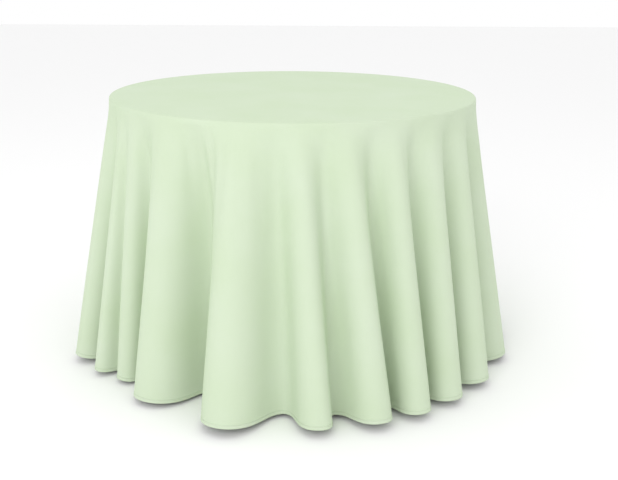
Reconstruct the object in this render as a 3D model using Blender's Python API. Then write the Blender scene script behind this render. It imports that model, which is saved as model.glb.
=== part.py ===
"""Round folding table under a full-length round tablecloth.

A plywood top with a vinyl edge band rests on two steel leg frames. Each frame hangs on a pivot tube in two
saddle brackets and folds inwards under the top. A two-link brace from the frame's cross bar to an anchor
bracket holds it open. One frame is wider and hangs closer to the top, so both fold flat past each other.
The cloth is one round panel that lies on the top and falls in fluted folds to just above the floor.
The table stands on z = 0, centred on the origin, with its fold axes along Y.
"""
import math

import bmesh
import bpy
from mathutils import Matrix, Vector

# Table, in metres
TABLE_DIAMETER = 1.067
TABLE_HEIGHT = 0.762
TOP_THICKNESS = 0.019
BAND_THICKNESS = 0.003
BAND_EDGE_ROUND = 0.0015
SEAT_GAP = 0.0003

# Tablecloth
CLOTH_THICKNESS = 0.0035
CLOTH_SIDE_CLEARANCE = 0.004
CLOTH_EDGE_ROUND = 0.007
HEM_HEIGHT = 0.010
CREST_FLARE = 0.115
VALLEY_FLARE = 0.014
FOLD_COUNT = 20
POINTS_PER_FOLD = 8

# Runners under the top
RUNNER_WIDTH = 0.030
RUNNER_DEPTH = 0.030
RUNNER_INSET = 0.0935
RUNNER_END_MARGIN = 0.030

# Leg frames
PIVOT_INSET = 0.1935
LEG_SPLAY = math.radians(3.0)
LEG_DIAMETER = 0.025
TUBE_WALL = 0.0015
WIDE_HALF_SPREAD = 0.240
NESTING_GAP = 0.010
TOP_CLEARANCE = 0.0075
STACKING_GAP = 0.009
CROSS_BAR_DIAMETER = 0.019
CROSS_BAR_DROP = 0.260
LEG_TOP_ROUND = 0.004

# Foot caps
CAP_DIAMETER = 0.032
CAP_HEIGHT = 0.014
CAP_STEM = 0.022

# Saddle brackets
SADDLE_THICKNESS = 0.0025
SADDLE_WIDTH = 0.030
SADDLE_FLANGE = 0.022
SADDLE_SPACING_FROM_LEG = 0.070
BEARING_GAP = 0.0005

# Braces
LINK_THICKNESS = 0.004
LINK_END_RADIUS = 0.010
LINK_EYE_WALL = 0.0065
LINK_LAYER_GAP = 0.003
BRACE_STEP = 0.050
PIN_RADIUS = 0.004
PIN_HEAD_RADIUS = 0.007
PIN_HEAD_THICKNESS = 0.0012
COLLAR_WALL = 0.003
COLLAR_WIDTH = 0.006
ANCHOR_THICKNESS = 0.003
ANCHOR_LENGTH = 0.044
ANCHOR_FLANGE = 0.032
ANCHOR_TAB_MARGIN = 0.011

# Wood screws
SCREW_RADIUS = 0.002
SCREW_HEAD_RADIUS = 0.0042
SCREW_HEAD_HEIGHT = 0.0022
SCREW_DEPTH = 0.012

TUBE_STEPS = 20
PIN_STEPS = 12
SCREW_STEPS = 8
DISC_STEPS = 96

# Derived places
TABLE_RADIUS = TABLE_DIAMETER / 2
UNDERSIDE = TABLE_HEIGHT - TOP_THICKNESS
LEG_RADIUS = LEG_DIAMETER / 2
PIVOT_X = TABLE_RADIUS - PIVOT_INSET
WIDE_PIVOT_DROP = LEG_RADIUS + TOP_CLEARANCE
NARROW_PIVOT_DROP = WIDE_PIVOT_DROP + LEG_DIAMETER + STACKING_GAP
NARROW_HALF_SPREAD = WIDE_HALF_SPREAD - LEG_DIAMETER - NESTING_GAP
CROSS_BAR_RADIUS = CROSS_BAR_DIAMETER / 2
ANCHOR_X = PIVOT_X - CROSS_BAR_DROP + BRACE_STEP
LOWER_LINK_Y = -(LINK_THICKNESS + LINK_LAYER_GAP) / 2
UPPER_LINK_Y = -LOWER_LINK_Y


def material(name, colour, roughness, metallic=0.0):
    """A Principled material, shared by every piece that asks for the same name."""
    made = bpy.data.materials.get(name)
    if made is None:
        made = bpy.data.materials.new(name)
        made.use_nodes = True
        shader = made.node_tree.nodes["Principled BSDF"]
        shader.inputs["Base Color"].default_value = (*colour, 1.0)
        shader.inputs["Roughness"].default_value = roughness
        shader.inputs["Metallic"].default_value = metallic
    return made


def cloth_fabric():
    return material("cloth_fabric", (0.68, 0.78, 0.60), 0.85)


def plywood():
    return material("plywood", (0.56, 0.38, 0.20), 0.55)


def edge_vinyl():
    return material("edge_vinyl", (0.10, 0.07, 0.05), 0.5)


def hardwood():
    return material("hardwood", (0.42, 0.26, 0.13), 0.6)


def grey_steel():
    return material("grey_steel", (0.20, 0.20, 0.21), 0.45, 0.6)


def zinc_steel():
    return material("zinc_steel", (0.62, 0.63, 0.65), 0.35, 1.0)


def foot_plastic():
    return material("foot_plastic", (0.02, 0.02, 0.02), 0.6)


def piece(name, bm, finish, parent=None, place=None):
    """Turn a mesh into a named object with its faces outwards and its round sides smooth."""
    bmesh.ops.recalc_face_normals(bm, faces=bm.faces)
    mesh = bpy.data.meshes.new(name)
    bm.to_mesh(mesh)
    bm.free()
    mesh.shade_smooth()
    mesh.set_sharp_from_angle(angle=math.radians(35))
    mesh.materials.append(finish)
    made = bpy.data.objects.new(name, mesh)
    bpy.context.scene.collection.objects.link(made)
    made.parent = parent
    made.matrix_basis = place or Matrix.Identity(4)
    return made


def pivot(name, parent=None, location=(0.0, 0.0, 0.0), turn=0.0):
    """An empty on a fold axis, turned about Y."""
    made = bpy.data.objects.new(name, None)
    bpy.context.scene.collection.objects.link(made)
    made.parent = parent
    made.location = location
    made.rotation_euler = (0.0, turn, 0.0)
    return made


def in_one_plane(a, b, c, d):
    """Whether four corners lie in one plane, to a hundredth of a millimetre."""
    across = (b.co - a.co).cross(c.co - a.co).normalized()
    return abs((d.co - a.co).dot(across)) < 1e-5


def skin(rings, closed=False):
    """Join rings of equal count with quads; the end rings are capped, or joined to each other.

    A quad that isn't flat becomes two triangles, split from its upper ring's earlier corner. Both sides
    of a thin shell then bend along the same lines and can't cross.
    """
    bm = bmesh.new()
    rows = [[bm.verts.new(point) for point in ring] for ring in rings]
    pairs = list(zip(rows, rows[1:]))
    if closed:
        pairs.append((rows[-1], rows[0]))
    else:
        bm.faces.new(rows[0])
        bm.faces.new(rows[-1])
    for near, far in pairs:
        for i in range(len(near)):
            j = (i + 1) % len(near)
            if in_one_plane(near[i], near[j], far[j], far[i]):
                bm.faces.new((near[i], near[j], far[j], far[i]))
            elif near[i].co.z > far[i].co.z:
                bm.faces.new((near[i], near[j], far[j]))
                bm.faces.new((near[i], far[j], far[i]))
            else:
                bm.faces.new((near[i], near[j], far[i]))
                bm.faces.new((near[j], far[j], far[i]))
    return bm


def circle(radius, height, steps):
    """A level ring of points round the local Z axis."""
    turns = [math.tau * i / steps for i in range(steps)]
    return [Vector((radius * math.cos(a), radius * math.sin(a), height)) for a in turns]


def turned(profile, steps, closed=False):
    """A turned solid from (radius, height) points; a closed profile makes a ring or an open tube."""
    return skin([circle(radius, height, steps) for radius, height in profile], closed)


def along_y(x=0.0, y=0.0, z=0.0):
    """Lay a piece that was turned round Z along Y, with its base at the given point."""
    return Matrix.Translation((x, y, z)) @ Matrix.Rotation(-math.pi / 2, 4, "X")


def cut(target, cutters):
    """Subtract each cutter from the target with an exact Boolean, then remove the cutters."""
    for cutter in cutters:
        cutter.hide_render = True
        cutter.display_type = "WIRE"
        change = target.modifiers.new(cutter.name, "BOOLEAN")
        change.operation = "DIFFERENCE"
        change.object = cutter
    bpy.context.view_layer.update()
    done = target.evaluated_get(bpy.context.evaluated_depsgraph_get())
    mesh = bpy.data.meshes.new_from_object(done)
    target.modifiers.clear()
    target.data = mesh
    for cutter in cutters:
        bpy.data.objects.remove(cutter)


def drill(name, radius, low, high, steps, parent=None, place=None):
    """A round cutter from low to high along its local Z axis."""
    return piece(name, turned([(radius, low), (radius, high)], steps), zinc_steel(), parent, place)


def screw_places():
    """Every screw's name, x, y and the height of the flange face that its head sits under."""
    places = []
    for side, frame in FRAMES.items():
        for end, y in (("front", -frame["saddle_y"]), ("back", frame["saddle_y"])):
            for edge, step in (("inner", -1), ("outer", 1)):
                x = frame["sign"] * (PIVOT_X + step * saddle_screw_offset())
                places.append((f"{side}_saddle_screw_{end}_{edge}", x, y, SADDLE_THICKNESS))
        for edge, step in (("inner", -1), ("outer", 1)):
            x = frame["sign"] * (ANCHOR_X + step * ANCHOR_LENGTH / 4)
            places.append((f"{side}_anchor_screw_{edge}", x, anchor_screw_y(), ANCHOR_THICKNESS))
    return places


def saddle_screw_offset():
    return LEG_RADIUS + BEARING_GAP + (SADDLE_THICKNESS + SADDLE_FLANGE) / 2


def anchor_tab_y():
    """Inner face of the anchor bracket's tab, beside the upper link."""
    return UPPER_LINK_Y + LINK_THICKNESS / 2 + SEAT_GAP


def anchor_screw_y():
    return anchor_tab_y() + (ANCHOR_THICKNESS + ANCHOR_FLANGE) / 2


def table_top():
    """Plywood disc with blind pilot holes for the bracket screws."""
    radius = TABLE_RADIUS - BAND_THICKNESS - SEAT_GAP
    top = piece("table_top", turned([(radius, UNDERSIDE), (radius, TABLE_HEIGHT)], DISC_STEPS), plywood())
    holes = []
    for name, x, y, _ in screw_places():
        place = Matrix.Translation((x, y, UNDERSIDE))
        depth = SCREW_DEPTH + SEAT_GAP
        holes.append(drill("hole_" + name, SCREW_RADIUS + SEAT_GAP, -depth, depth, SCREW_STEPS, None, place))
    cut(top, holes)


def edge_band():
    """Vinyl band round the plywood's edge, with eased outer corners."""
    inner = TABLE_RADIUS - BAND_THICKNESS
    eased = TABLE_RADIUS - BAND_EDGE_ROUND
    profile = [(inner, UNDERSIDE), (inner, TABLE_HEIGHT), (eased, TABLE_HEIGHT),
               (TABLE_RADIUS, TABLE_HEIGHT - BAND_EDGE_ROUND), (TABLE_RADIUS, UNDERSIDE + BAND_EDGE_ROUND),
               (eased, UNDERSIDE)]
    piece("edge_band", turned(profile, DISC_STEPS, closed=True), edge_vinyl())


def box_rings(x_range, y_range, z_range):
    """Two rectangles, one at each end of x_range, for a squared bar."""
    (y0, y1), (z0, z1) = y_range, z_range
    return [[Vector((x, y0, z0)), Vector((x, y1, z0)), Vector((x, y1, z1)), Vector((x, y0, z1))]
            for x in x_range]


def runner(side, frame):
    """Hardwood runner glued across the underside, outside the leg frame."""
    outer = TABLE_RADIUS - RUNNER_INSET
    half = math.sqrt((TABLE_RADIUS - RUNNER_END_MARGIN) ** 2 - outer ** 2)
    ends = sorted((frame["sign"] * outer, frame["sign"] * (outer - RUNNER_WIDTH)))
    heights = (UNDERSIDE - SEAT_GAP - RUNNER_DEPTH, UNDERSIDE - SEAT_GAP)
    piece(f"{side}_runner", skin(box_rings(ends, (-half, half), heights)), hardwood())


def tube(name, axis, outer, length, y, z):
    """Open tube along Y between -length/2 and +length/2, centred at the given height of its frame."""
    profile = [(outer, 0.0), (outer, length), (outer - TUBE_WALL, length), (outer - TUBE_WALL, 0.0)]
    steps = TUBE_STEPS
    piece(name, turned(profile, steps, closed=True), grey_steel(), axis, along_y(0.0, y - length / 2, z))


def leg(name, axis, frame, y):
    """Steel leg tube with a closed, eased top, from the pivot tube down to its foot cap."""
    bottom = -(frame["height"] - CAP_HEIGHT) / math.cos(LEG_SPLAY)
    bore = LEG_RADIUS - TUBE_WALL
    profile = [(LEG_RADIUS - LEG_TOP_ROUND, LEG_RADIUS), (LEG_RADIUS, LEG_RADIUS - LEG_TOP_ROUND),
               (LEG_RADIUS, bottom), (bore, bottom), (bore, LEG_RADIUS - LEG_TOP_ROUND),
               (bore - LEG_TOP_ROUND / 2, LEG_RADIUS - LEG_TOP_ROUND / 2 - TUBE_WALL)]
    place = Matrix.Translation((0.0, y, 0.0))
    piece(name, turned(profile, TUBE_STEPS), grey_steel(), axis, place)


def foot_cap(name, axis, frame, y):
    """Plastic cap plugged into a leg, its sole cut level with the floor."""
    bottom = -(frame["height"] - CAP_HEIGHT) / math.cos(LEG_SPLAY)
    stem = LEG_RADIUS - TUBE_WALL - SEAT_GAP
    rim = CAP_DIAMETER / 2
    shoulder = bottom - SEAT_GAP
    turn = frame["turn"]
    sole = circle(rim, 0.0, TUBE_STEPS)
    for point in sole:
        point.z = (point.x * math.sin(turn) - frame["height"]) / math.cos(turn)
    rings = [sole, circle(rim, shoulder, TUBE_STEPS), circle(stem, shoulder, TUBE_STEPS),
             circle(stem, bottom + CAP_STEM, TUBE_STEPS)]
    piece(name, skin(rings), foot_plastic(), axis, Matrix.Translation((0.0, y, 0.0)))


def saddle(name, frame, y):
    """Strap bent under the pivot tube, with a flange each side screwed to the underside."""
    inner = LEG_RADIUS + BEARING_GAP
    outer = inner + SADDLE_THICKNESS
    rise = frame["drop"] - SEAT_GAP
    path = [((outer + SADDLE_FLANGE, rise), (outer + SADDLE_FLANGE, rise - SADDLE_THICKNESS)),
            ((inner, rise), (outer, rise - SADDLE_THICKNESS))]
    bends = TUBE_STEPS // 2
    for i in range(bends + 1):
        c, s = math.cos(math.pi * i / bends), -math.sin(math.pi * i / bends)
        path.append(((inner * c, inner * s), (outer * c, outer * s)))
    path += [((-x0, z0), (-x1, z1)) for (x0, z0), (x1, z1) in reversed(path[:2])]
    low, high = -SADDLE_WIDTH / 2, SADDLE_WIDTH / 2
    rings = [[Vector((a[0], low, a[1])), Vector((b[0], low, b[1])),
              Vector((b[0], high, b[1])), Vector((a[0], high, a[1]))] for a, b in path]
    x = frame["sign"] * PIVOT_X
    place = Matrix.Translation((x, y, frame["height"]))
    made = piece(name, skin(rings), zinc_steel(), None, place)
    holes = []
    for step in (-1, 1):
        spot = Matrix.Translation((x + step * saddle_screw_offset(), y, UNDERSIDE))
        holes.append(drill(f"{name}_hole_{step}", SCREW_RADIUS + SEAT_GAP, -2 * SADDLE_THICKNESS,
                           SADDLE_THICKNESS, SCREW_STEPS, None, spot))
    cut(made, holes)


def anchor_bracket(side, frame):
    """Angle bracket: a tab that holds the brace's upper pin, and a flange screwed to the underside."""
    y0 = anchor_tab_y()
    y1 = y0 + ANCHOR_THICKNESS
    y2 = y0 + ANCHOR_FLANGE + ANCHOR_THICKNESS
    high = UNDERSIDE - SEAT_GAP
    low = frame["height"] - ANCHOR_TAB_MARGIN
    x = frame["sign"] * ANCHOR_X
    path = [((y0, low), (y1, low)), ((y0, high), (y1, high - ANCHOR_THICKNESS)),
            ((y2, high), (y2, high - ANCHOR_THICKNESS))]
    x0, x1 = x - ANCHOR_LENGTH / 2, x + ANCHOR_LENGTH / 2
    rings = [[Vector((x0, a[0], a[1])), Vector((x0, b[0], b[1])),
              Vector((x1, b[0], b[1])), Vector((x1, a[0], a[1]))] for a, b in path]
    made = piece(f"{side}_anchor_bracket", skin(rings), zinc_steel())
    reach = PIN_RADIUS + SEAT_GAP
    place = along_y(x, y0, frame["height"])
    holes = [drill(f"{side}_anchor_pin_hole", reach, -ANCHOR_THICKNESS, 2 * ANCHOR_THICKNESS, PIN_STEPS,
                   None, place)]
    for step in (-1, 1):
        spot = Matrix.Translation((x + step * ANCHOR_LENGTH / 4, anchor_screw_y(), UNDERSIDE))
        holes.append(drill(f"{side}_anchor_hole_{step}", SCREW_RADIUS + SEAT_GAP, -2 * ANCHOR_THICKNESS,
                           ANCHOR_THICKNESS, SCREW_STEPS, None, spot))
    cut(made, holes)


def headed_pin(name, parent, x, z, inner_face, outer_face):
    """Pin with a thin head beyond each of two faces, along Y."""
    start = inner_face - SEAT_GAP - PIN_HEAD_THICKNESS
    neck = PIN_HEAD_THICKNESS
    far = outer_face + SEAT_GAP - start
    profile = [(PIN_HEAD_RADIUS, 0.0), (PIN_HEAD_RADIUS, neck), (PIN_RADIUS, neck), (PIN_RADIUS, far),
               (PIN_HEAD_RADIUS, far), (PIN_HEAD_RADIUS, far + PIN_HEAD_THICKNESS)]
    piece(name, turned(profile, PIN_STEPS), zinc_steel(), parent, along_y(x, start, z))


def link(name, axis, length, y, start_radius, start_hole, end_hole):
    """Flat steel bar from the local origin along +X, round at both ends and drilled where it is pinned."""
    lean = math.acos((start_radius - LINK_END_RADIUS) / length)
    steps = 12
    outline = []
    for i in range(steps + 1):
        a = lean + (math.tau - 2 * lean) * i / steps
        outline.append((start_radius * math.cos(a), start_radius * math.sin(a)))
    for i in range(steps + 1):
        a = -lean + 2 * lean * i / steps
        outline.append((length + LINK_END_RADIUS * math.cos(a), LINK_END_RADIUS * math.sin(a)))
    low, high = y - LINK_THICKNESS / 2, y + LINK_THICKNESS / 2
    rings = [[Vector((px, side, pz)) for px, pz in outline] for side in (low, high)]
    made = piece(name, skin(rings), grey_steel(), axis)
    holes = []
    for number, (x, radius, sides) in enumerate(((0.0, start_hole, TUBE_STEPS), (length, end_hole, PIN_STEPS))):
        if radius:
            place = along_y(x, y - LINK_THICKNESS, 0.0)
            holes.append(drill(f"{name}_hole_{number}", radius, 0.0, 2 * LINK_THICKNESS, sides, axis, place))
    cut(made, holes)


def brace(side, frame, fold_axis):
    """Lower link on the cross bar, upper link on the anchor pin, and the rivet and collars at their ends."""
    sign = frame["sign"]
    foot = Vector((sign * (PIVOT_X + CROSS_BAR_DROP * math.sin(LEG_SPLAY)), 0.0,
                   frame["height"] - CROSS_BAR_DROP * math.cos(LEG_SPLAY)))
    anchor = Vector((sign * ANCHOR_X, 0.0, frame["height"]))
    span = (foot - anchor).length
    lower, upper = (span + BRACE_STEP) / 2, (span - BRACE_STEP) / 2
    slope = math.atan2(anchor.z - foot.z, sign * (foot.x - anchor.x))
    up_turn = slope if sign > 0 else math.pi - slope
    down_turn = up_turn + math.pi
    lower_axis = pivot(f"{side}_lower_link_axis", None, foot, down_turn)
    upper_axis = pivot(f"{side}_upper_link_axis", None, anchor, up_turn)
    eye = CROSS_BAR_RADIUS + BEARING_GAP
    pin_hole = PIN_RADIUS + SEAT_GAP
    link(f"{side}_lower_link", lower_axis, lower, LOWER_LINK_Y, eye + LINK_EYE_WALL, eye, 0.0)
    link(f"{side}_upper_link", upper_axis, upper, UPPER_LINK_Y, LINK_END_RADIUS, pin_hole, pin_hole)
    inner, outer = UPPER_LINK_Y - LINK_THICKNESS / 2, UPPER_LINK_Y + LINK_THICKNESS / 2
    headed_pin(f"{side}_knee_rivet", upper_axis, upper, 0.0, inner, outer)
    headed_pin(f"{side}_anchor_pin", None, anchor.x, anchor.z, inner, anchor_tab_y() + ANCHOR_THICKNESS)
    radius = CROSS_BAR_RADIUS + SEAT_GAP
    profile = [(radius, 0.0), (radius, COLLAR_WIDTH), (radius + COLLAR_WALL, COLLAR_WIDTH),
               (radius + COLLAR_WALL, 0.0)]
    faces = {"front": LOWER_LINK_Y - LINK_THICKNESS / 2 - SEAT_GAP - COLLAR_WIDTH,
             "back": LOWER_LINK_Y + LINK_THICKNESS / 2 + SEAT_GAP}
    for end, y in faces.items():
        piece(f"{side}_collar_{end}", turned(profile, TUBE_STEPS, closed=True), zinc_steel(), fold_axis,
              along_y(0.0, y, -CROSS_BAR_DROP))


def leg_frame(side, frame):
    """Two legs, their pivot tube and cross bar, which fold as one, and the brackets that hold them."""
    location = (frame["sign"] * PIVOT_X, 0.0, frame["height"])
    axis = pivot(f"{side}_fold_axis", None, location, frame["turn"])
    spread = frame["spread"]
    for end, y in (("front", -spread), ("back", spread)):
        leg(f"{side}_leg_{end}", axis, frame, y)
        foot_cap(f"{side}_foot_{end}", axis, frame, y)
    clear = 2 * (spread - LEG_RADIUS - SEAT_GAP)
    tube(f"{side}_pivot_tube", axis, LEG_RADIUS, clear, 0.0, 0.0)
    tube(f"{side}_cross_bar", axis, CROSS_BAR_RADIUS, clear, 0.0, -CROSS_BAR_DROP)
    for end, y in (("front", -frame["saddle_y"]), ("back", frame["saddle_y"])):
        saddle(f"{side}_saddle_{end}", frame, y)
    anchor_bracket(side, frame)
    brace(side, frame, axis)


def screws():
    """Pan-head wood screws, driven up through the bracket flanges into the plywood."""
    for name, x, y, flange in screw_places():
        seat = -SEAT_GAP - flange - SEAT_GAP
        profile = [(SCREW_HEAD_RADIUS * 0.6, seat - SCREW_HEAD_HEIGHT),
                   (SCREW_HEAD_RADIUS, seat - SCREW_HEAD_HEIGHT / 2), (SCREW_HEAD_RADIUS, seat),
                   (SCREW_RADIUS, seat), (SCREW_RADIUS, SCREW_DEPTH - 2 * SCREW_RADIUS),
                   (SCREW_RADIUS / 4, SCREW_DEPTH)]
        place = Matrix.Translation((x, y, UNDERSIDE))
        piece(name, turned(profile, SCREW_STEPS), zinc_steel(), None, place)


def skirt_ring(rim, fall, height):
    """Fluted ring: the flare grows with the fall, from the valleys' to the crests' at each fold."""
    count = FOLD_COUNT * POINTS_PER_FOLD
    ring = []
    for i in range(count):
        a = math.tau * i / count
        crest = 0.5 + 0.5 * math.cos(FOLD_COUNT * a)
        radius = rim + fall * (VALLEY_FLARE + (CREST_FLARE - VALLEY_FLARE) * crest)
        ring.append(Vector((radius * math.cos(a), radius * math.sin(a), height)))
    return ring


def cloth_shell(rim, top, edge_round):
    """Rings of one side of the cloth, from the flat top over the table's edge and down to the hem."""
    rings = []
    bends = 2
    for i in range(bends + 1):
        a = math.pi / 2 * i / bends
        radius = rim - edge_round + edge_round * math.sin(a)
        rings.append(skirt_ring(radius, 0.0, top - edge_round + edge_round * math.cos(a)))
    start = top - edge_round
    falls = 2
    for i in range(1, falls + 1):
        rings.append(skirt_ring(rim, i / falls, start + (HEM_HEIGHT - start) * i / falls))
    return rings


def tablecloth():
    """Round panel over the top, open below, as one thin shell with a turned-under edge at the hem."""
    inner_rim = TABLE_RADIUS + CLOTH_SIDE_CLEARANCE
    inner_top = TABLE_HEIGHT + SEAT_GAP
    inside = cloth_shell(inner_rim, inner_top, CLOTH_SIDE_CLEARANCE)
    outside = cloth_shell(inner_rim + CLOTH_THICKNESS, inner_top + CLOTH_THICKNESS, CLOTH_EDGE_ROUND)
    piece("tablecloth", skin(outside + inside[::-1]), cloth_fabric())


def frame_values(sign, drop, spread):
    """What differs between the two leg frames."""
    return {"sign": sign, "drop": drop, "height": UNDERSIDE - drop, "spread": spread,
            "turn": -sign * LEG_SPLAY, "saddle_y": spread - SADDLE_SPACING_FROM_LEG}


for old in list(bpy.data.objects):
    bpy.data.objects.remove(old)

FRAMES = {"right": frame_values(1, WIDE_PIVOT_DROP, WIDE_HALF_SPREAD),
          "left": frame_values(-1, NARROW_PIVOT_DROP, NARROW_HALF_SPREAD)}

table_top()
edge_band()
for side_name, frame_sizes in FRAMES.items():
    runner(side_name, frame_sizes)
    leg_frame(side_name, frame_sizes)
screws()
tablecloth()
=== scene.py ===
import math

import bpy
import numpy as np
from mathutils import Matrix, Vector


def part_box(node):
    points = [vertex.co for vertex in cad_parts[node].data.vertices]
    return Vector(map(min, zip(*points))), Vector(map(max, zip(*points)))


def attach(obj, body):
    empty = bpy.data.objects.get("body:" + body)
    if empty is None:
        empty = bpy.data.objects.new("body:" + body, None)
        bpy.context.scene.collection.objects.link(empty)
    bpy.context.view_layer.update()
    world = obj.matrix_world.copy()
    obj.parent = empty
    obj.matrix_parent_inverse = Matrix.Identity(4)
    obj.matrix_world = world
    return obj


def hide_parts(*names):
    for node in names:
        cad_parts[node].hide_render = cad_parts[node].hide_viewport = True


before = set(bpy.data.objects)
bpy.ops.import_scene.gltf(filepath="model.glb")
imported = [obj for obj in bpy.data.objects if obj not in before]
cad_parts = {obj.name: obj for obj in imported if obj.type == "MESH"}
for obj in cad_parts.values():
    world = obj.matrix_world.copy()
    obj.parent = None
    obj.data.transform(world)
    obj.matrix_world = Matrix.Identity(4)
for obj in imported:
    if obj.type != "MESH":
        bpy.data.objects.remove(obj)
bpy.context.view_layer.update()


# Viewpoint: a camera a little above table height, well back, looking slightly down at the cloth.
# The object stands at the origin and its front faces -Y.
VIEW_DISTANCE = 2.545
VIEW_ABOVE_TOP = 0.351
VIEW_PITCH = math.radians(17.82)
VIEW_YAW = math.radians(1.01)
VIEW_ROLL = math.radians(-0.36)
VIEW_LENS = 36.0 * 848 / 618

top_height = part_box("tablecloth")[1][2]
camera = bpy.data.objects.new("camera", bpy.data.cameras.new("camera"))
bpy.context.scene.collection.objects.link(camera)
camera.data.lens = VIEW_LENS
camera.data.sensor_width = 36.0
camera.location = (0.0, -VIEW_DISTANCE, top_height + VIEW_ABOVE_TOP)
camera.rotation_mode = "XYZ"
camera.rotation_euler = (math.pi / 2 - VIEW_PITCH, VIEW_ROLL, -VIEW_YAW)
bpy.context.scene.camera = camera


def soft_lamp(name, place, aim, size, power):
    """A square area lamp at place, turned to shine at aim."""
    light = bpy.data.lights.new(name, "AREA")
    light.size = size
    light.energy = power
    lamp = bpy.data.objects.new(name, light)
    lamp.location = place
    lamp.rotation_euler = (Vector(aim) - Vector(place)).to_track_quat("-Z", "Y").to_euler()
    bpy.context.scene.collection.objects.link(lamp)


soft_lamp("key_lamp", (-1.6, -4.0, 2.4), (0.0, 0.0, 0.4), 2.2, 60.0)
soft_lamp("fill_lamp", (3.2, -2.8, 2.0), (0.0, 0.0, 0.4), 3.0, 6.0)
soft_lamp("top_lamp", (0.0, 0.3, 3.6), (0.0, 0.0, 0.7), 3.0, 9.0)

world = bpy.data.worlds.new("studio")
world.use_nodes = True
world.node_tree.nodes["Background"].inputs["Color"].default_value = (1.0, 1.0, 1.0, 1.0)
world.node_tree.nodes["Background"].inputs["Strength"].default_value = 1.0
bpy.context.scene.world = world
bpy.context.scene.view_settings.view_transform = "Standard"

bpy.ops.mesh.primitive_plane_add(size=30.0)
floor = bpy.context.active_object
floor.name = "floor"
paint = bpy.data.materials.new("studio_floor")
paint.use_nodes = True
paint.node_tree.nodes["Principled BSDF"].inputs["Base Color"].default_value = (0.93, 0.93, 0.93, 1.0)
paint.node_tree.nodes["Principled BSDF"].inputs["Roughness"].default_value = 0.9
floor.data.materials.append(paint)


# Tablecloth: one round panel of plain-woven polyester, 2.58 m across, laid over the table top.
# It falls from the table's edge in folds that deepen towards the hem, 8 mm off the floor at its lowest.
# Its hem is turned under twice and held by one row of stitches.
SIDE_GAP = 0.0035
TOP_GAP = 0.0010
BELOW_EDGE = 0.002
CLOTH_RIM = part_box("edge_band")[1][0] + SIDE_GAP
CLOTH_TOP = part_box("table_top")[1][2] + TOP_GAP
TABLE_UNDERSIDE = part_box("table_top")[0][2]
CUT_RADIUS = 1.290
ROUND_OVER = 0.006
SKIRT_START = CLOTH_RIM - ROUND_OVER + ROUND_OVER * math.pi / 2
FREE_FALL = CLOTH_TOP - TABLE_UNDERSIDE - BELOW_EDGE
FOLD_OPENING = 0.7
DEEPEST_VALLEY = 0.490
INNERMOST = 0.485
VALLEY_SHARPNESS = 0.8
TOP_RINGS = 9
SKIRT_RINGS = 46
STEPS_PER_HALF_FOLD = 7
PINNED_RINGS = 5
GRAVITY = 9.81
CLOTH_STEP = 0.005
SWING_KEPT = 0.92
CLOTH_MEMORY = 0.02
CLOTH_STIFFNESS = 0.035
PUSH_OF_SLACK = 0.25
BIAS_GIVE = 0.35
RIM_PRESS = 0.0015
RING_CROWDING = 1.25
RIPPLES = 7
RIPPLE_HEIGHT = 0.0011
# The folds in front, left to right, in degrees round from the front: where the crest leaves the table's
# edge, where it and the valley after it meet the hem, and how far the crest stands from the middle there.
# The folds behind follow by rule.
FRONT_FOLDS = [(-87.0, -86.0, -78.0, 0.655), (-72.0, -69.0, -64.0, 0.694), (-59.5, -59.0, -55.5, 0.664),
               (-52.5, -51.5, -46.5, 0.630), (-38.0, -38.5, -23.5, 0.670), (-14.6, -15.5, -2.5, 0.719),
               (2.1, 6.0, 10.5, 0.701), (14.8, 19.5, 23.0, 0.706), (28.2, 29.5, 33.0, 0.704),
               (42.2, 40.0, 44.5, 0.696), (56.5, 52.0, 58.0, 0.692), (71.5, 69.5, 75.5, 0.686)]
BACK_FOLDS = 13


def meander(bend, samples=96):
    """Run and rise of half a fold of unit length, from valley to crest.

    Its heading is bend times the sine of half a turn, which peaks nearer the valley than the crest."""
    u = (np.arange(samples) + 0.5) / samples
    heading = bend * np.sin(np.pi * u ** VALLEY_SHARPNESS)
    return np.cos(heading).mean(), np.sin(heading).mean()


BENDS = np.linspace(0.0, 2.2, 111)
RUNS, RISES = np.array([meander(bend) for bend in BENDS]).T


def half_fold_course(bend, samples):
    """Share of the run and of the rise covered at evenly spaced points along half a fold, from its valley.

    Both are sums of the heading's cosine and sine along the cloth, divided by their totals."""
    fine = 16
    u = (np.arange(samples * fine) + 0.5) / (samples * fine)
    heading = bend[..., None] * np.sin(np.pi * u ** VALLEY_SHARPNESS)
    run = np.cumsum(np.cos(heading), axis=-1)[..., fine - 1::fine]
    rise = np.cumsum(np.sin(heading), axis=-1)[..., fine - 1::fine]
    start = np.zeros(bend.shape + (1,))
    run = np.concatenate([start, run / run[..., -1:]], axis=-1)
    rise = np.concatenate([start, rise / np.maximum(rise[..., -1:], 1e-9)], axis=-1)
    return run, rise


def half_fold_length(span, inner, outer):
    """Length of half a fold along the hem, whose crest and valley stand at two radii a span apart."""
    run = span * (inner + outer) / 2
    rise = np.abs(outer - inner)
    return run / np.interp(np.interp(rise / run, RISES / RUNS, BENDS), BENDS, RUNS)


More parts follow.
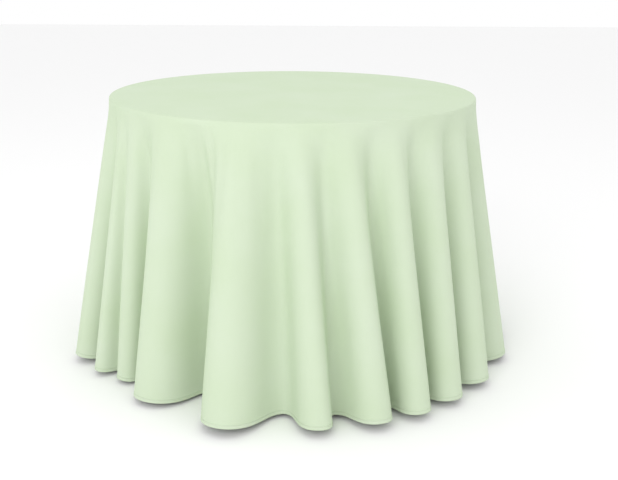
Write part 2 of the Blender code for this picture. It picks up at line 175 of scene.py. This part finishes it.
def fold_lines(seed=7):
    """Angles of the crests and valleys at the table's edge and at the hem, and their radii at the hem.

    From crest to crest the hem is as long as the flat cut's edge there, which sets how deep each valley
    lies, and the valley leaves the table's edge where the cut's edge is shared between its two sides."""
    draw = np.random.default_rng(seed)
    front = np.array(FRONT_FOLDS)
    evenly = np.arange(1, BACK_FOLDS + 1) / (BACK_FOLDS + 1)
    behind = draw.uniform(-1.8, 1.8, BACK_FOLDS)
    edge_gap = 360.0 + front[0, 0] - front[-1, 0]
    edge_crests = np.append(front[:, 0], front[-1, 0] + evenly * edge_gap + behind)
    hem_gap = 360.0 + front[0, 1] - front[-1, 1]
    hem_crests = np.append(front[:, 1], front[-1, 1] + evenly * hem_gap + behind)
    lean = hem_gap / (BACK_FOLDS + 1) * draw.uniform(0.36, 0.62, BACK_FOLDS)
    hem_valleys = np.append(front[:, 2], hem_crests[len(front):] + lean)
    edge_crests, hem_crests, hem_valleys = np.radians([edge_crests, hem_crests, hem_valleys])
    reach = np.append(front[:, 3], draw.uniform(0.660, 0.690, BACK_FOLDS))
    ahead = np.roll(reach, -1)
    spans = np.stack([hem_valleys - hem_crests,
                      np.append(hem_crests[1:], hem_crests[0] + math.tau) - hem_valleys])
    whole = np.diff(np.append(edge_crests, edge_crests[0] + math.tau)) * CUT_RADIUS
    low, high = np.full(len(reach), DEEPEST_VALLEY), np.minimum(reach, ahead) - 0.01
    for _ in range(30):
        hollow = (low + high) / 2
        long_enough = (half_fold_length(spans[0], hollow, reach)
                       + half_fold_length(spans[1], hollow, ahead)) > whole
        low, high = np.where(long_enough, hollow, low), np.where(long_enough, high, hollow)
    sides = half_fold_length(spans, hollow, np.stack([reach, ahead]))
    edge_valleys = edge_crests + whole / CUT_RADIUS * sides[0] / sides.sum(axis=0)
    return (np.stack([edge_crests, edge_valleys], axis=1).ravel(),
            np.stack([hem_crests, hem_valleys], axis=1).ravel(), np.stack([reach, hollow], axis=1).ravel())


def drape(rings, steps):
    """Points of the hanging cloth and of the flat cut, as (ring, column, xyz) and (ring, column, xy) arrays.

    Crests and valleys run straight from the table's edge to the hem. At every ring the valleys lie as deep
    as the flat ring's length needs, but clear of the table's edge, and the height falls by what is left of
    each step along the cloth. Ripples a millimetre or so high, a few crossing waves, lie over the folds."""
    edge, hem, radii = fold_lines()
    shares = np.diff(np.append(edge, edge[0] + math.tau))
    turn = (edge[:, None] + shares[:, None] * np.arange(steps) / steps).ravel()
    fall = (CUT_RADIUS - SKIRT_START) * np.linspace(0.0, 1.0, rings)[1:] ** RING_CROWDING
    share_down = (fall / fall[-1])[:, None]
    angles = edge + (hem - edge) * share_down
    spans = np.diff(np.concatenate([angles, angles[:, :1] + math.tau], axis=1), axis=1)
    crest = CLOTH_RIM + (radii[0::2] - CLOTH_RIM) * share_down
    flat_arc = (SKIRT_START + fall)[:, None] * shares
    middle = CLOTH_RIM + 0.4 * (crest.mean(axis=1) - CLOTH_RIM)
    ratio = np.clip(spans * middle[:, None] / flat_arc, RUNS[-1], 1.0)
    rise = np.interp(np.interp(-ratio, -RUNS, BENDS), BENDS, RISES) * flat_arc
    depth = (rise[:, 0::2] + rise[:, 1::2]) / 2
    opening = 0.12 * fall + FOLD_OPENING * np.maximum(fall - FREE_FALL, 0.0)
    depth = 1 / np.sqrt(1 / np.maximum(depth, 1e-6) ** 2 + 1 / opening[:, None] ** 2)
    depth *= 1 + share_down * ((radii[0::2] - radii[1::2]) / depth[-1] - 1)
    level = np.stack([crest, crest - depth], axis=2).reshape(angles.shape)
    ahead = np.roll(level, -1, axis=1)
    slope = np.abs(ahead - level) / (spans * (ahead + level) / 2)
    run, climb = half_fold_course(np.interp(slope, RISES / RUNS, BENDS), steps)
    run[:, 0::2] = 1 - run[:, 0::2, ::-1]
    climb[:, 0::2] = 1 - climb[:, 0::2, ::-1]
    run, climb = run[..., :-1], climb[..., :-1]
    azimuth = (angles[..., None] + run * spans[..., None]).reshape(len(fall), -1)
    radius = (level[..., None] + climb * (ahead - level)[..., None]).reshape(len(fall), -1)
    draw = np.random.default_rng(3)
    for waves in draw.integers(34, 92, RIPPLES):
        crossing = waves * (turn + draw.uniform(0.0, math.tau)) + draw.uniform(-2.5, 2.5) * share_down
        radius += RIPPLE_HEIGHT * np.sin(crossing) * np.sqrt(share_down) * (1 - 0.5 * share_down)
    round_turn = np.linspace(0.0, math.pi / 2, 4)
    over_radius = CLOTH_RIM - ROUND_OVER + ROUND_OVER * np.sin(round_turn)
    over_height = CLOTH_TOP - ROUND_OVER + ROUND_OVER * np.cos(round_turn)
    start_azimuth = np.broadcast_to(turn, (len(round_turn), len(turn)))
    azimuth = np.concatenate([start_azimuth, azimuth])
    radius = np.concatenate([np.repeat(over_radius[:, None], len(turn), axis=1), radius])
    level_points = np.stack([radius * np.sin(azimuth), -radius * np.cos(azimuth)], axis=-1)
    sideways = np.linalg.norm(np.diff(level_points[len(round_turn) - 1:], axis=0), axis=-1)
    steps_down = np.diff(fall, prepend=0.0)[:, None]
    drop = np.sqrt(np.maximum(steps_down ** 2 - sideways ** 2, (0.5 * steps_down) ** 2))
    height = np.concatenate([np.repeat(over_height[:, None], len(turn), axis=1),
                             over_height[-1] - np.cumsum(drop, axis=0)])
    hanging = np.concatenate([level_points, height[..., None]], axis=-1)
    flat_radius = np.concatenate([CLOTH_RIM - ROUND_OVER + ROUND_OVER * round_turn, SKIRT_START + fall])
    cut = flat_radius[:, None, None] * np.stack([np.sin(turn), -np.cos(turn)], axis=-1)
    return hanging, cut


def pull_together(place, first, second, length, give):
    """Move both ends of every thread between two sets of points by half of give times its error.

    A stretched thread pulls fully, and a slack one pushes only a little, as cloth does."""
    along = place[second] - place[first]
    reach = np.linalg.norm(along, axis=-1, keepdims=True)
    error = 1.0 - length / np.maximum(reach, 1e-6)
    step = along * (0.5 * give * np.where(error > 0, error, PUSH_OF_SLACK * error))
    place[first] += step
    place[second] -= step


def hang(draped, cut, steps, passes):
    """Let the skirt hang by its upper rings, with its threads as long as they are in the flat cut.

    Each step carries every point on with its last motion and gravity, and draws it a little towards where it
    was laid. Then the threads along, across and aslant are brought back to length, a few passes over,
    the cloth's stiffness evens out each point against its neighbours, and the table's edge keeps it out."""
    rows, columns = draped.shape[:2]
    row, column = np.meshgrid(np.arange(rows), np.arange(columns), indexing="ij")
    threads = []
    for down, round_, give in ((0, 1, 1.0), (1, 0, 1.0), (1, 1, BIAS_GIVE), (1, -1, BIAS_GIVE)):
        turns = (column if down == 0 else row) % 2
        for turn in (0, 1):
            use = (turns == turn) & (row + down < rows)
            first = row[use], column[use]
            second = row[use] + down, (column[use] + round_) % columns
            length = np.linalg.norm(cut[second] - cut[first], axis=-1, keepdims=True)
            threads.append((first, second, length, give))
    place, before = draped.copy(), draped.copy()
    for _ in range(steps):
        ahead = place + SWING_KEPT * (place - before)
        ahead[..., 2] -= GRAVITY * CLOTH_STEP ** 2
        ahead += CLOTH_MEMORY * (draped - ahead)
        before, place = place, ahead
        for _ in range(passes):
            for thread in threads:
                pull_together(place, *thread)
            place[:PINNED_RINGS] = draped[:PINNED_RINGS]
        beside = np.roll(place, 1, axis=1) + np.roll(place, -1, axis=1) - 2 * place
        above = np.zeros_like(place)
        above[1:-1] = place[2:] + place[:-2] - 2 * place[1:-1]
        place += CLOTH_STIFFNESS * (beside + above)
        radius = np.linalg.norm(place[..., :2], axis=-1, keepdims=True)
        beside_table = place[..., 2:] > TABLE_UNDERSIDE - BELOW_EDGE
        least = np.where(beside_table, CLOTH_RIM - RIM_PRESS, INNERMOST)
        place[..., :2] *= np.maximum(1.0, least / radius)
        place[:PINNED_RINGS] = draped[:PINNED_RINGS]
    for ring in range(PINNED_RINGS, rows):
        down = place[ring] - place[ring - 1]
        length = np.linalg.norm(cut[ring] - cut[ring - 1], axis=-1, keepdims=True)
        place[ring] = place[ring - 1] + down * length / np.linalg.norm(down, axis=-1, keepdims=True)
    return place


def between(grid, axis, closed):
    """The grid with a point added halfway between each two along an axis, on a cubic through four points."""
    grid = np.moveaxis(grid, axis, 0)
    if closed:
        before, after, beyond = np.roll(grid, 1, axis=0), np.roll(grid, -1, axis=0), np.roll(grid, -2, axis=0)
        halves = (9 * (grid + after) - before - beyond) / 16
        finer = np.stack([grid, halves], axis=1).reshape((-1,) + grid.shape[1:])
    else:
        wide = np.concatenate([2 * grid[:1] - grid[1:2], grid, 2 * grid[-1:] - grid[-2:-1]])
        halves = (9 * (wide[1:-2] + wide[2:-1]) - wide[:-3] - wide[3:]) / 16
        finer = np.concatenate([np.stack([grid[:-1], halves], axis=1).reshape((-1,) + grid.shape[1:]),
                                grid[-1:]])
    return np.moveaxis(finer, 0, axis)


def grid_faces(rows, columns):
    """Quads between successive rings of a closed grid, wound so that a skirt's faces look outwards."""
    row, column = np.meshgrid(np.arange(rows - 1), np.arange(columns), indexing="ij")
    ahead = (column + 1) % columns
    return np.stack([row * columns + column, (row + 1) * columns + column,
                     (row + 1) * columns + ahead, row * columns + ahead], axis=-1).reshape(-1, 4)


def cloth_mesh(name, rings, steps):
    """The draped panel.

    Rings of the flat top run out from its centre, then over the rounded edge and down the skirt. The UV
    layer holds each point's place in the flat cut, in metres, so the weave follows the cloth."""
    hanging, cut = drape(rings, steps)
    hanging = hang(hanging, cut, 40, 6)
    hanging = between(between(hanging, 0, False), 1, True)
    cut = between(between(cut, 0, False), 1, True)
    columns = hanging.shape[1]
    edge = CLOTH_RIM - ROUND_OVER
    top_radii = edge * np.linspace(0.0, 1.0, TOP_RINGS + 1)[1:-1] ** 0.8
    top = np.concatenate([top_radii[:, None, None] * hanging[0, :, :2] / edge,
                          np.full((len(top_radii), columns, 1), CLOTH_TOP)], axis=-1)
    top_cut = top_radii[:, None, None] * cut[0] / edge
    points = np.concatenate([[[0.0, 0.0, CLOTH_TOP]], top.reshape(-1, 3), hanging.reshape(-1, 3)])
    flat = np.concatenate([[[0.0, 0.0]], top_cut.reshape(-1, 2), cut.reshape(-1, 2)])
    quads = grid_faces(len(top_radii) + len(hanging), columns) + 1
    first = np.arange(columns)
    fan = np.stack([np.zeros(columns, int), first + 1, (first + 1) % columns + 1], axis=-1)
    mesh = bpy.data.meshes.new(name)
    mesh.from_pydata(points.tolist(), [], fan.tolist() + quads.tolist())
    mesh.update()
    pattern = mesh.uv_layers.new(name="pattern")
    corners = np.empty(len(mesh.loops), np.int32)
    mesh.loops.foreach_get("vertex_index", corners)
    pattern.data.foreach_set("uv", flat[corners].astype(np.float32).ravel())
    mesh.shade_smooth()
    return mesh, hanging, cut


cloth_sheet, skirt, skirt_cut = cloth_mesh("cloth", SKIRT_RINGS, STEPS_PER_HALF_FOLD)
cloth = bpy.data.objects.new("cloth", cloth_sheet)
bpy.context.scene.collection.objects.link(cloth)


def surface(name, colour, roughness, metallic=0.0):
    """A Principled material with its plain values set, and its shader."""
    made = bpy.data.materials.new(name)
    made.use_nodes = True
    shader = made.node_tree.nodes["Principled BSDF"]
    shader.inputs["Base Color"].default_value = (*colour, 1.0)
    shader.inputs["Roughness"].default_value = roughness
    shader.inputs["Metallic"].default_value = metallic
    return made, shader


def node(material, kind, inputs=None, **settings):
    """Add a node with its settings; an input is linked where it is given as a socket, or else set."""
    made = material.node_tree.nodes.new(kind)
    for name, value in settings.items():
        setattr(made, name, value)
    for name, value in (inputs or {}).items():
        if isinstance(value, bpy.types.NodeSocket):
            material.node_tree.links.new(value, made.inputs[name])
        else:
            made.inputs[name].default_value = value
    return made


def math_node(material, operation, first, second=0.0):
    """One arithmetic step on a pattern."""
    return node(material, "ShaderNodeMath", {0: first, 1: second}, operation=operation).outputs[0]


def noise(material, place, scale, detail=3.0, stretch=(1.0, 1.0, 1.0)):
    """Noise over a place, with the place stretched first."""
    stretched = node(material, "ShaderNodeMapping", {"Vector": place, "Scale": stretch}).outputs[0]
    inputs = {"Vector": stretched, "Scale": scale, "Detail": detail}
    return node(material, "ShaderNodeTexNoise", inputs).outputs["Fac"]


def ramp(material, pattern, stops):
    """Colours along a pattern, from (position, colour) stops."""
    made = node(material, "ShaderNodeValToRGB", {"Fac": pattern})
    for _ in range(len(stops) - 2):
        made.color_ramp.elements.new(0.5)
    for element, (position, colour) in zip(made.color_ramp.elements, stops):
        element.position = position
        element.color = (*colour, 1.0)
    return made.outputs["Color"]


def spread(material, pattern, low, high, least, most):
    """The pattern's values from low to high, spread from least to most."""
    inputs = {"Value": pattern, "From Min": low, "From Max": high, "To Min": least, "To Max": most}
    return node(material, "ShaderNodeMapRange", inputs).outputs["Result"]


def bumps(material, shader, height, distance, strength=1.0):
    """Raise the surface by a pattern, a distance in metres from its lowest to its highest."""
    inputs = {"Height": height, "Distance": distance, "Strength": strength}
    bump = node(material, "ShaderNodeBump", inputs)
    material.node_tree.links.new(bump.outputs["Normal"], shader.inputs["Normal"])


# Plain weave: 14 threads to the centimetre each way, with thicker threads here and there. The dye lies
# a little unevenly, the threads catch a soft sheen, and the cloth is smooth to the hand.
THREAD_PITCH = 0.0007
DYE_PALE = (0.572, 0.652, 0.512)
DYE_FULL = (0.528, 0.626, 0.448)


def thread_wave(material, place, direction):
    """Threads side by side across a direction: one wave to each thread's width."""
    inputs = {"Vector": place, "Scale": math.tau / (20.0 * THREAD_PITCH), "Distortion": 0.0}
    return node(material, "ShaderNodeTexWave", inputs, bands_direction=direction).outputs["Fac"]


def woven_polyester(name):
    """The cloth's finish: its material and shader, its flat place in metres, and the height of its weave."""
    made, shader = surface(name, DYE_FULL, 0.72)
    shader.inputs["Specular IOR Level"].default_value = 0.25
    shader.inputs["Sheen Weight"].default_value = 0.18
    shader.inputs["Sheen Roughness"].default_value = 0.45
    shader.inputs["Sheen Tint"].default_value = (0.80, 1.0, 0.70, 1.0)
    place = node(made, "ShaderNodeUVMap", uv_map="pattern").outputs["UV"]
    warp = thread_wave(made, place, "X")
    weft = thread_wave(made, place, "Y")
    weave = math_node(made, "MULTIPLY", warp, weft)
    warp_slubs = noise(made, place, 1.0, 2.0, (900.0, 22.0, 1.0))
    weft_slubs = noise(made, place, 1.0, 2.0, (22.0, 900.0, 1.0))
    slubs = math_node(made, "ADD", warp_slubs, weft_slubs)
    clouds = noise(made, place, 5.0, 4.0)
    clouds_share = math_node(made, "MULTIPLY", clouds, 0.7)
    slubs_share = math_node(made, "MULTIPLY", slubs, 0.15)
    dye = math_node(made, "ADD", clouds_share, slubs_share)
    dye = math_node(made, "ADD", dye, math_node(made, "MULTIPLY", weave, 0.12))
    colour = ramp(made, dye, [(0.32, DYE_FULL), (0.78, DYE_PALE)])
    made.node_tree.links.new(colour, shader.inputs["Base Color"])
    rough = spread(made, slubs, 0.7, 1.3, 0.66, 0.80)
    made.node_tree.links.new(rough, shader.inputs["Roughness"])
    height = math_node(made, "ADD", weave, math_node(made, "MULTIPLY", slubs, 0.6))
    return made, shader, place, height


fabric, fabric_shader, _, fabric_height = woven_polyester("woven_polyester")
bumps(fabric, fabric_shader, fabric_height, 0.00012, 0.6)
cloth.data.materials.append(fabric)
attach(cloth, "tablecloth")
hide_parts("tablecloth")


# Hem: the cut edge turned under twice, about 10 mm wide, and held by one row of lockstitch near its fold.
# It is three layers of the same cloth, so it stands a little proud and keeps the edge round.
HEM_THICKNESS = 0.0014
HEM_PROFILE = [(-0.02, 0.1), (0.0, 0.42), (0.3, 0.5), (0.7, 0.5), (0.95, 0.42), (1.03, 0.0),
               (0.95, -0.42), (0.7, -0.5), (0.3, -0.5), (0.0, -0.42), (-0.02, -0.1)]
STITCH_PITCH = 0.003
STITCH_LENGTH = 0.0022
STITCH_INSET = 0.0085


def hem_mesh(name, upper, lower, upper_cut, lower_cut):
    """A closed strip along the hem, whose profile is given in shares of its width and of its thickness.

    At each column the profile runs down from the upper ring to the lower one and back up inside, laid off
    from the cloth along its outward normal: the way down crossed with the way round."""
    down = lower - upper
    width = np.linalg.norm(lower_cut - upper_cut, axis=-1)
    way_round = np.roll(lower, -1, axis=0) - np.roll(lower, 1, axis=0)
    outward = np.cross(down, way_round)
    outward /= np.linalg.norm(outward, axis=-1, keepdims=True)
    along, proud = np.array(HEM_PROFILE).T
    rings = (upper + along[:, None, None] * down
             + proud[:, None, None] * HEM_THICKNESS * outward)
    count, columns = rings.shape[:2]
    row, column = np.meshgrid(np.arange(count), np.arange(columns), indexing="ij")
    below, beside = (row + 1) % count, (column + 1) % columns
    quads = np.stack([row * columns + column, below * columns + column,
                      below * columns + beside, row * columns + beside], axis=-1).reshape(-1, 4)
    mesh = bpy.data.meshes.new(name)
    mesh.from_pydata(rings.reshape(-1, 3).tolist(), [], quads.tolist())
    mesh.update()
    lap = np.linalg.norm(np.roll(lower_cut, -1, axis=0) - lower_cut, axis=-1)
    travel = np.concatenate([[0.0], np.cumsum(lap)])
    corner_row = np.stack([row, row + 1, row + 1, row], axis=-1).reshape(-1)
    corner_column = np.stack([column, column, column + 1, column + 1], axis=-1).reshape(-1)
    height = np.append(1.0 - along, 1.0 - along[0])[corner_row] * width.mean()
    pattern = mesh.uv_layers.new(name="pattern")
    places = np.stack([travel[corner_column], height], axis=-1)
    pattern.data.foreach_set("uv", places.astype(np.float32).ravel())
    mesh.shade_smooth()
    return mesh


hem = bpy.data.objects.new("hem", hem_mesh("hem", skirt[-2], skirt[-1], skirt_cut[-2], skirt_cut[-1]))
bpy.context.scene.collection.objects.link(hem)
hem_fabric, hem_shader, hem_place, hem_height = woven_polyester("hem_polyester")
across = node(hem_fabric, "ShaderNodeSeparateXYZ", {"Vector": hem_place})
off_row = math_node(hem_fabric, "SUBTRACT", across.outputs["Y"], STITCH_INSET)
from_row = math_node(hem_fabric, "ABSOLUTE", off_row)
on_row = spread(hem_fabric, from_row, 0.0003, 0.0006, 1.0, 0.0)
along_stitch = math_node(hem_fabric, "MODULO", across.outputs["X"], STITCH_PITCH)
off_middle = math_node(hem_fabric, "SUBTRACT", along_stitch, STITCH_LENGTH / 2)
from_middle = math_node(hem_fabric, "ABSOLUTE", off_middle)
in_stitch = spread(hem_fabric, from_middle, STITCH_LENGTH / 2 - 0.0003, STITCH_LENGTH / 2, 1.0, 0.0)
stitch = math_node(hem_fabric, "MULTIPLY", on_row, in_stitch)
sunk = spread(hem_fabric, from_row, 0.0, 0.0016, 1.0, 0.0)
hem_relief = math_node(hem_fabric, "SUBTRACT", math_node(hem_fabric, "MULTIPLY", hem_height, 0.3),
                       math_node(hem_fabric, "MULTIPLY", sunk, 1.5))
hem_relief = math_node(hem_fabric, "ADD", hem_relief, math_node(hem_fabric, "MULTIPLY", stitch, 1.8))
bumps(hem_fabric, hem_shader, hem_relief, 0.00035, 0.8)
hem.data.materials.append(hem_fabric)
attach(hem, "tablecloth")


# Table top: a 19 mm birch plywood disc. Its face veneers run across the table, with dark growth lines,
# and its nine plies show as bands round the edge behind the vinyl.
PLY_COUNT = 9
PLYWOOD_COLOURS = [(0.30, (0.36, 0.21, 0.10)), (0.48, (0.56, 0.37, 0.19)), (0.68, (0.68, 0.49, 0.29))]


def dress(words, finish):
    """Give a finish to every CAD piece whose name holds the words."""
    for name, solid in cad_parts.items():
        if words in name:
            solid.data.materials.clear()
            solid.data.materials.append(finish)


def own_place(material):
    """Where a point lies on its piece, in metres."""
    return node(material, "ShaderNodeTexCoord").outputs["Object"]


plywood, plywood_shader = surface("birch_plywood", (0.56, 0.38, 0.20), 0.5)
plywood_place = own_place(plywood)
figure = noise(plywood, plywood_place, 1.0, 6.0, (1.6, 22.0, 22.0))
fine_grain = noise(plywood, plywood_place, 1.0, 3.0, (12.0, 420.0, 420.0))
ply_pitch = (CLOTH_TOP - TABLE_UNDERSIDE) / PLY_COUNT
ply_inputs = {"Vector": plywood_place, "Scale": math.tau / (20.0 * 2 * ply_pitch)}
plies = node(plywood, "ShaderNodeTexWave", ply_inputs, bands_direction="Z").outputs["Fac"]
grain = math_node(plywood, "ADD", math_node(plywood, "MULTIPLY", figure, 0.6),
                  math_node(plywood, "MULTIPLY", fine_grain, 0.25))
grain = math_node(plywood, "ADD", grain, math_node(plywood, "MULTIPLY", plies, 0.15))
grain_colour = ramp(plywood, grain, PLYWOOD_COLOURS)
plywood.node_tree.links.new(grain_colour, plywood_shader.inputs["Base Color"])
plywood_roughness = spread(plywood, fine_grain, 0.3, 0.7, 0.42, 0.62)
plywood.node_tree.links.new(plywood_roughness, plywood_shader.inputs["Roughness"])
bumps(plywood, plywood_shader, fine_grain, 0.00015, 0.5)
dress("table_top", plywood)


# Edge band: a brown vinyl strip pressed round the plywood. It has a fine leather-like grain, and its
# edges are rubbed paler by handling.
VINYL_COLOURS = [(0.40, (0.075, 0.050, 0.036)), (0.62, (0.125, 0.090, 0.066)), (0.78, (0.24, 0.19, 0.15))]
vinyl, vinyl_shader = surface("edge_vinyl_finish", (0.10, 0.07, 0.05), 0.5)
vinyl_place = own_place(vinyl)
pebble_inputs = {"Vector": vinyl_place, "Scale": 700.0, "Randomness": 1.0}
pebble = node(vinyl, "ShaderNodeTexVoronoi", pebble_inputs, feature="SMOOTH_F1").outputs["Distance"]
rub = noise(vinyl, vinyl_place, 35.0, 5.0)
vinyl_colour = ramp(vinyl, rub, VINYL_COLOURS)
vinyl.node_tree.links.new(vinyl_colour, vinyl_shader.inputs["Base Color"])
vinyl.node_tree.links.new(spread(vinyl, rub, 0.3, 0.8, 0.42, 0.66), vinyl_shader.inputs["Roughness"])
bumps(vinyl, vinyl_shader, pebble, 0.00012, 0.6)
dress("edge_band", vinyl)


# Runners: two planed hardwood strips glued across the underside, outside the leg frames, with their grain
# along them. They stiffen the plywood.
HARDWOOD_COLOURS = [(0.34, (0.22, 0.12, 0.055)), (0.52, (0.40, 0.24, 0.12)), (0.70, (0.52, 0.34, 0.19))]
hardwood, hardwood_shader = surface("planed_hardwood", (0.42, 0.26, 0.13), 0.55)
hardwood_place = own_place(hardwood)
rings_of_growth = noise(hardwood, hardwood_place, 1.0, 5.0, (55.0, 1.8, 55.0))
pores = noise(hardwood, hardwood_place, 1.0, 2.0, (900.0, 30.0, 900.0))
runner_grain = math_node(hardwood, "ADD", math_node(hardwood, "MULTIPLY", rings_of_growth, 0.75),
                         math_node(hardwood, "MULTIPLY", pores, 0.25))
runner_colour = ramp(hardwood, runner_grain, HARDWOOD_COLOURS)
hardwood.node_tree.links.new(runner_colour, hardwood_shader.inputs["Base Color"])
hardwood_roughness = spread(hardwood, pores, 0.3, 0.7, 0.45, 0.68)
hardwood.node_tree.links.new(hardwood_roughness, hardwood_shader.inputs["Roughness"])
bumps(hardwood, hardwood_shader, pores, 0.0002, 0.5)
dress("_runner", hardwood)


# Leg frames: steel tube with a baked grey powder coat. The coat has a fine orange peel, a slight mottle,
# and scuffs down to duller primer where legs are handled.
POWDER_COLOURS = [(0.38, (0.165, 0.168, 0.178)), (0.60, (0.215, 0.218, 0.228)), (0.76, (0.33, 0.33, 0.335))]
powder, powder_shader = surface("grey_powder_coat", (0.20, 0.20, 0.21), 0.42, 0.35)
powder_place = own_place(powder)
peel = noise(powder, powder_place, 650.0, 2.0)
scuffs = noise(powder, powder_place, 1.0, 6.0, (60.0, 60.0, 14.0))
powder_colour = ramp(powder, scuffs, POWDER_COLOURS)
powder.node_tree.links.new(powder_colour, powder_shader.inputs["Base Color"])
powder.node_tree.links.new(spread(powder, scuffs, 0.3, 0.8, 0.34, 0.62), powder_shader.inputs["Roughness"])
bumps(powder, powder_shader, peel, 0.00012, 0.5)
for part in ("_leg_", "_pivot_tube", "_cross_bar"):
    dress(part, powder)


# Folding gear: pressed steel saddles, anchors, links, pins, rivets and wood screws, all zinc plated.
# The plating has faint crystals, a brushed haze and duller patches where parts rub.
ZINC_COLOURS = [(0.30, (0.30, 0.305, 0.31)), (0.52, (0.43, 0.44, 0.455)), (0.72, (0.54, 0.55, 0.575))]
zinc, zinc_shader = surface("zinc_plate", (0.62, 0.63, 0.65), 0.32, 1.0)
zinc_place = own_place(zinc)
crystal_inputs = {"Vector": zinc_place, "Scale": 260.0}
crystals = node(zinc, "ShaderNodeTexVoronoi", crystal_inputs).outputs["Distance"]
haze = noise(zinc, zinc_place, 45.0, 6.0)
plate = math_node(zinc, "ADD", math_node(zinc, "MULTIPLY", crystals, 0.35),
                  math_node(zinc, "MULTIPLY", haze, 0.65))
zinc_colour = ramp(zinc, plate, ZINC_COLOURS)
zinc.node_tree.links.new(zinc_colour, zinc_shader.inputs["Base Color"])
zinc.node_tree.links.new(spread(zinc, haze, 0.3, 0.7, 0.24, 0.50), zinc_shader.inputs["Roughness"])
bumps(zinc, zinc_shader, plate, 0.00005, 0.4)
for part in ("_saddle_", "_anchor_", "_link", "_knee_rivet", "_collar_"):
    dress(part, zinc)


# Foot caps: black moulded plastic pressed on the leg ends, matt with a fine spark-eroded grain and
# a paler scuffed sole.
PLASTIC_COLOURS = [(0.40, (0.016, 0.016, 0.017)), (0.62, (0.030, 0.030, 0.031)),
                   (0.80, (0.085, 0.083, 0.080))]
plastic, plastic_shader = surface("foot_cap_plastic", (0.02, 0.02, 0.02), 0.6)
plastic_place = own_place(plastic)
spark = noise(plastic, plastic_place, 1400.0, 2.0)
wear = noise(plastic, plastic_place, 90.0, 5.0)
plastic_colour = ramp(plastic, wear, PLASTIC_COLOURS)
plastic.node_tree.links.new(plastic_colour, plastic_shader.inputs["Base Color"])
plastic.node_tree.links.new(spread(plastic, wear, 0.3, 0.8, 0.50, 0.80), plastic_shader.inputs["Roughness"])
bumps(plastic, plastic_shader, spark, 0.0001, 0.5)
dress("_foot_", plastic)
